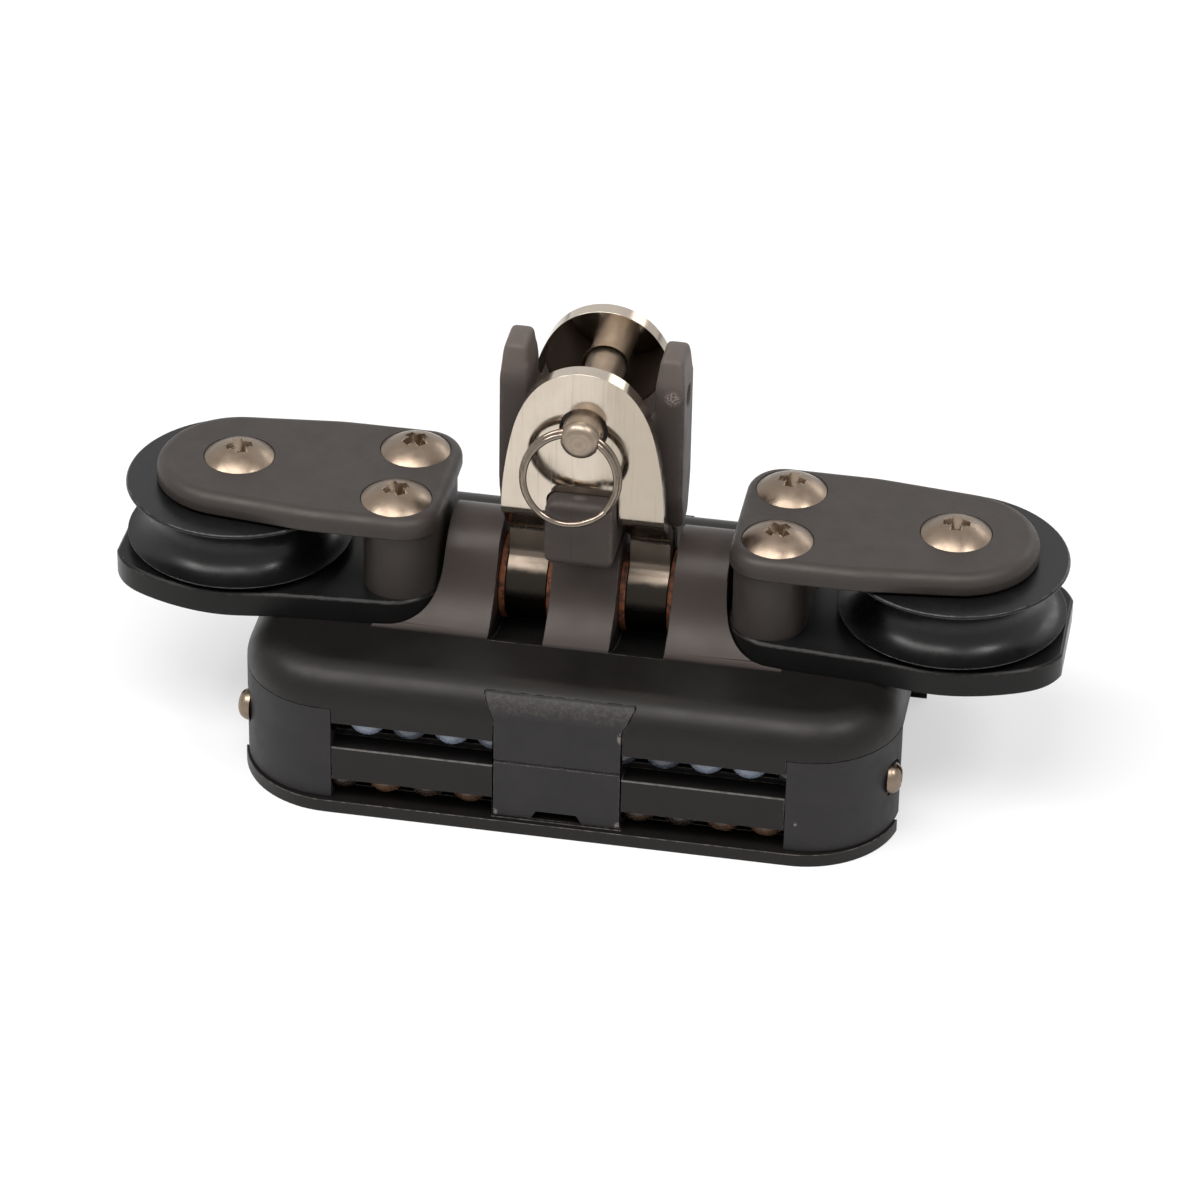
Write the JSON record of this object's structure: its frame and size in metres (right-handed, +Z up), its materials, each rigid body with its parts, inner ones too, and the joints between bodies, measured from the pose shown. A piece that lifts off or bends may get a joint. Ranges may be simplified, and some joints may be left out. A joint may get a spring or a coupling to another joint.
{
  "type": "ball-bearing track car",
  "caption": "Low black car for a sailboat T-track: recirculating ball races in its flanks, a steel toggle with clevis pin on top and a grooved sheave under a cheek cover at each end.",
  "frame": {"origin": "bottom centre of the car, on the plane of its foot flange, midway between the two sheaves", "axes": "+X along the track, +Y away from the side with the split ring, +Z up from the deck"},
  "size_m": [0.1436, 0.06, 0.0688],
  "materials": {
    "anodised_body": "black hard anodised, satin",
    "cap_plastic": "moulded, matt",
    "stainless_screw": "satin",
    "pale_ball": "polished",
    "brown_ball": "satin",
    "stainless_pin": "turned and polished",
    "washer_fibre": "matt",
    "plate_anodised": "black anodised, satin",
    "hub_metal": "turned",
    "cover_composite": "fine cast texture",
    "sheave_plastic": "smooth, semi-gloss",
    "liner_plastic": "turned",
    "polished_steel": "polished, finely scratched",
    "insert_plastic": "moulded, matt",
    "ring_wire": "polished"
  },
  "bodies": {
    "car": {"car_body": "anodised_body", "end_cap_front_right": "cap_plastic", "end_cap_front_left": "cap_plastic", "end_cap_back_right": "cap_plastic", "end_cap_back_left": "cap_plastic", "end_cap_screws": "stainless_screw", "keeper_front": "cap_plastic", "keeper_back": "cap_plastic", "upper_balls_front": "pale_ball", "upper_balls_back": "pale_ball", "lower_balls_front": "brown_ball", "lower_balls_back": "brown_ball", "axle": "stainless_pin", "thrust_washer_inner_right": "washer_fibre", "thrust_washer_outer_right": "washer_fibre", "thrust_washer_inner_left": "washer_fibre", "thrust_washer_outer_left": "washer_fibre", "base_plate_right": "plate_anodised", "sheave_hub_right": "hub_metal", "cheek_cover_right": "cover_composite", "hub_screw_right": "stainless_screw", "cover_screws_right": "stainless_screw", "base_plate_left": "plate_anodised", "sheave_hub_left": "hub_metal", "cheek_cover_left": "cover_composite", "hub_screw_left": "stainless_screw", "cover_screws_left": "stainless_screw"},
    "toggle": {"strap": "polished_steel", "upright_insert": "insert_plastic"},
    "clevis_pin": {"clevis_pin": "stainless_pin"},
    "split_ring": {"split_ring": "ring_wire"},
    "sheave_unit_right": {"sheave_right": "sheave_plastic", "sheave_liner_right": "liner_plastic"},
    "sheave_unit_left": {"sheave_left": "sheave_plastic", "sheave_liner_left": "liner_plastic"}
  },
  "joints": [
    {"name": "toggle_swing", "type": "hinge", "parent": "car", "child": "toggle", "pos_m": [0, 0, 0.0265], "axis": [1, 0, 0], "range_deg": [-45, 45]},
    {"name": "pin_turn", "type": "hinge", "parent": "toggle", "child": "clevis_pin", "pos_m": [0, 0, 0.0595], "axis": [0, 1, 0], "continuous": true},
    {"name": "ring_swing", "type": "hinge", "parent": "clevis_pin", "child": "split_ring", "pos_m": [0, -0.01255, 0.0595], "axis": [-0.9816, 0, 0.1908], "range_deg": [0, 150]},
    {"name": "sheave_right_turn", "type": "hinge", "parent": "car", "child": "sheave_unit_right", "pos_m": [0.0543, 0, 0.034], "axis": [0, 0, 1], "continuous": true},
    {"name": "sheave_left_turn", "type": "hinge", "parent": "car", "child": "sheave_unit_left", "pos_m": [-0.0543, 0, 0.034], "axis": [0, 0, 1], "continuous": true}
  ]
}
